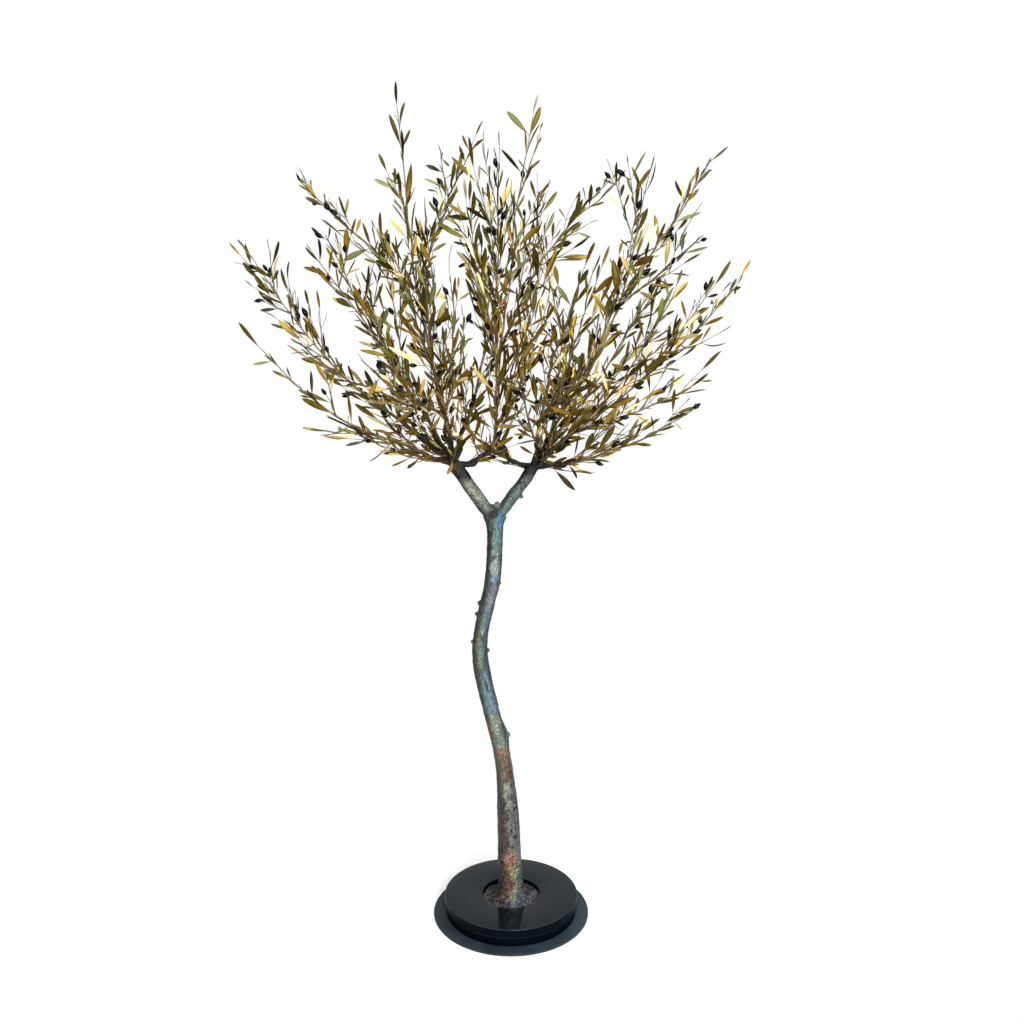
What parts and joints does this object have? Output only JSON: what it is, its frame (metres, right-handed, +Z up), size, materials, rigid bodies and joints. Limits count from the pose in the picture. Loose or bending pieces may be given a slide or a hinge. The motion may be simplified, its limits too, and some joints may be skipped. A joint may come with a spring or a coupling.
{
  "type": "artificial olive tree",
  "caption": "Artificial olive tree of patinated metal: slim bent trunk, fork with two boughs and a fan of leafy branches, standing on a round two-step stand.",
  "frame": {"origin": "centre of the stand's flat underside, on the floor", "axes": "+Z up the tree, -Y towards the viewer of the front, +X to the viewer's right"},
  "size_m": [1.0473, 0.8842, 1.7471],
  "materials": {
    "stand": "satin blue-black paint, faintly streaked, with a softly mirrored top",
    "stand_flange": "satin slate-blue paint on a thin plate",
    "root_ground": "crumpled dark grey-blue metal with bright glints on the folds",
    "trunk_bark": "patinated bark: verdigris and blue above, copper and rust below, metallic sheen",
    "limb_bark": "dark brown patinated metal, satin",
    "leaves": "gilded metal leaves from olive-brown to pale gold, with glossy near-black olives"
  },
  "bodies": {
    "root": {"stand_flange": "stand_flange", "stand_drum": "stand", "stand_top": "stand", "root_ground": "root_ground", "trunk": "trunk_bark", "bough_left": "trunk_bark", "bough_right": "trunk_bark", "limb_centre": "limb_bark", "limb_centre_low": "limb_bark", "limb_front_left": "limb_bark", "limb_front_right": "limb_bark", "limb_left_back": "limb_bark", "limb_left_front": "limb_bark", "limb_left_low": "limb_bark", "limb_left_reach": "limb_bark", "limb_left_tall": "limb_bark", "limb_right_back": "limb_bark", "limb_right_front": "limb_bark", "limb_right_lowest": "limb_bark", "limb_right_mid": "limb_bark", "limb_right_reach": "limb_bark", "limb_right_tall": "limb_bark", "leaves_back_high": "leaves", "leaves_back_left_high": "leaves", "leaves_back_low": "leaves", "leaves_back_right_high": "leaves", "leaves_back_right_low": "leaves", "leaves_centre": "leaves", "leaves_centre_low": "leaves", "leaves_front_left": "leaves", "leaves_front_left_high": "leaves", "leaves_front_low": "leaves", "leaves_front_right": "leaves", "leaves_front_right_low": "leaves", "leaves_left_back": "leaves", "leaves_left_back_high": "leaves", "leaves_left_front": "leaves", "leaves_left_front_low": "leaves", "leaves_left_high": "leaves", "leaves_left_low": "leaves", "leaves_left_reach": "leaves", "leaves_left_tall": "leaves", "leaves_right_back": "leaves", "leaves_right_back_high": "leaves", "leaves_right_far": "leaves", "leaves_right_front": "leaves", "leaves_right_high": "leaves", "leaves_right_low": "leaves", "leaves_right_lowest": "leaves", "leaves_right_mid": "leaves", "leaves_right_reach": "leaves", "leaves_right_tall": "leaves", "leaves_right_tip": "leaves", "leaves_right_top": "leaves"}
  },
  "joints": []
}
